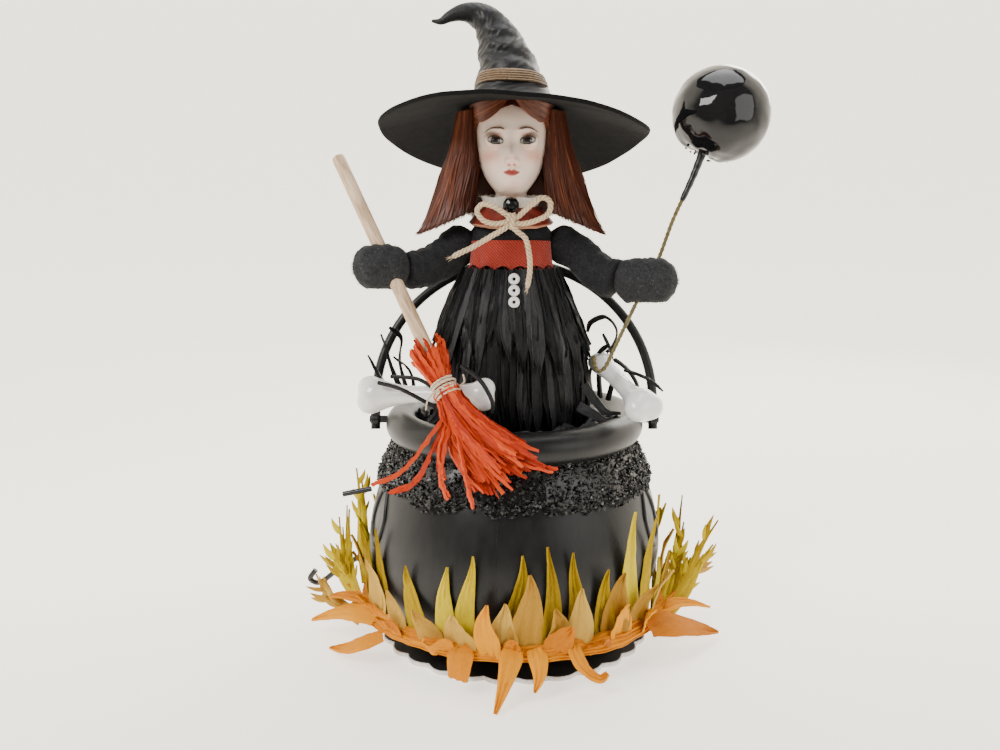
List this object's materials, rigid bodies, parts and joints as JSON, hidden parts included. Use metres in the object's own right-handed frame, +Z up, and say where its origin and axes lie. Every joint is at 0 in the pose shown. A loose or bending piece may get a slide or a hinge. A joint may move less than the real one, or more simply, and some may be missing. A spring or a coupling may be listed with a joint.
{
  "type": "witch figure in a cauldron",
  "caption": "Small handmade witch doll standing in a black cauldron ringed with paper flames, holding a raffia broom and a black ball on a wire.",
  "frame": {"origin": "centre of the base disc's underside, which is the surface the figure stands on", "axes": "+Z up, the figure looks along -Y, +X is on the viewer's right"},
  "size_m": [0.1272, 0.1101, 0.1758],
  "materials": {
    "black_card": "matt black card, white at the cut edge",
    "black_plastic": "satin black moulded plastic",
    "black_crumb": "loose glossy black crumbs",
    "foam": "dry floral foam",
    "wood": "pale unfinished wood",
    "black_paper": "crinkled black crepe paper and raffia",
    "card": "grey card",
    "felt": "charcoal wool felt",
    "red_ribbon": "coarse twill ribbon with a pinked edge",
    "white_bead": "glossy white",
    "white_cloth": "white cotton",
    "red_leather": "dark red leather",
    "black_gem": "faceted, glossy",
    "twine": "twisted jute",
    "porcelain": "soft satin, painted",
    "hair": "combed auburn doll hair",
    "hat_felt": "black felt",
    "hat_satin": "black satin, wrinkled",
    "gold_satin": "brown and gold satin ribbon, pleated",
    "armature_wire": "bare soft wire",
    "stem_wire": "olive florist wire",
    "black_tape": "glossy black",
    "red_raffia": "red-orange paper raffia",
    "black_gloss": "high gloss black",
    "white_gloss": "glossy white",
    "crepe_yellow": "olive-yellow crepe paper",
    "crepe_tan": "tan crepe paper",
    "crepe_orange": "orange crepe paper"
  },
  "bodies": {
    "base": {"base_disc": "black_card", "cauldron": "black_plastic", "crumb_band": "black_crumb", "foam_plug": "foam", "figure_post": "wood", "rim_filling": "black_paper", "bone_left": "white_gloss", "bone_right": "white_gloss", "raffia_loop": "black_paper", "raffia_tuft": "black_paper", "wire_hook": "black_tape", "wire_stub": "black_tape", "flame_ring_inner": "crepe_yellow", "flame_ring_middle": "crepe_tan", "flame_ring_outer": "crepe_orange", "flame_spray_right": "crepe_orange", "flame_spray_left": "crepe_yellow", "flame_strip_front": "crepe_orange", "skirt_core": "card", "skirt_tier_lower": "black_paper", "skirt_tier_upper": "black_paper", "torso": "felt", "belt_ribbon": "red_ribbon", "button_top": "white_bead", "button_middle": "white_bead", "button_bottom": "white_bead", "collar_red": "red_leather", "collar_white": "white_cloth", "brooch_setting": "black_gloss", "brooch_gem": "black_gem", "bow_knot": "twine", "bow_loop_left": "twine", "bow_loop_right": "twine", "bow_tail_left": "twine", "bow_tail_right": "twine"},
    "bail": {"bail_handle": "black_plastic"},
    "head": {"head": "porcelain", "hair_left": "hair", "hair_right": "hair", "hair_back": "hair", "hair_fringe": "hair", "hat_brim": "hat_felt", "hat_crown": "hat_satin", "hat_band": "gold_satin"},
    "right_arm": {"right_sleeve": "felt", "right_mitten": "felt", "right_arm_wire": "armature_wire"},
    "left_arm": {"left_sleeve": "felt", "left_mitten": "felt", "left_arm_wire": "armature_wire"},
    "broom": {"broom_stick": "wood", "broom_bristles": "red_raffia", "broom_binding": "twine"},
    "balloon": {"balloon_ball": "black_gloss", "balloon_wire": "stem_wire", "balloon_tape": "black_tape"}
  },
  "joints": [
    {"name": "bail_hinge", "type": "hinge", "parent": "base", "child": "bail", "pos_m": [0, 0, 0.061], "axis": [-1, 0, 0], "range_deg": [0, 78]},
    {"name": "head_turn", "type": "hinge", "parent": "base", "child": "head", "pos_m": [-0.001, 0, 0.124], "axis": [0, 0, 1], "range_deg": [-15, 15]},
    {"name": "right_arm_swing", "type": "hinge", "parent": "base", "child": "right_arm", "pos_m": [-0.015, 0.0005, 0.1098], "axis": [0, 0, 1], "range_deg": [-18, 1]},
    {"name": "left_arm_swing", "type": "hinge", "parent": "base", "child": "left_arm", "pos_m": [0.013, 0.0005, 0.1098], "axis": [0, 0, -1], "range_deg": [-6, 18]},
    {"name": "broom_slide", "type": "slide", "parent": "right_arm", "child": "broom", "axis": [-0.4157, 0.4596, 0.7848], "range_m": [0, 0.0025]},
    {"name": "balloon_turn", "type": "hinge", "parent": "left_arm", "child": "balloon", "pos_m": [0.0354, -0.01125, 0.10225], "axis": [0.4503, 0.1407, 0.8817], "range_deg": [-12, 12]}
  ]
}
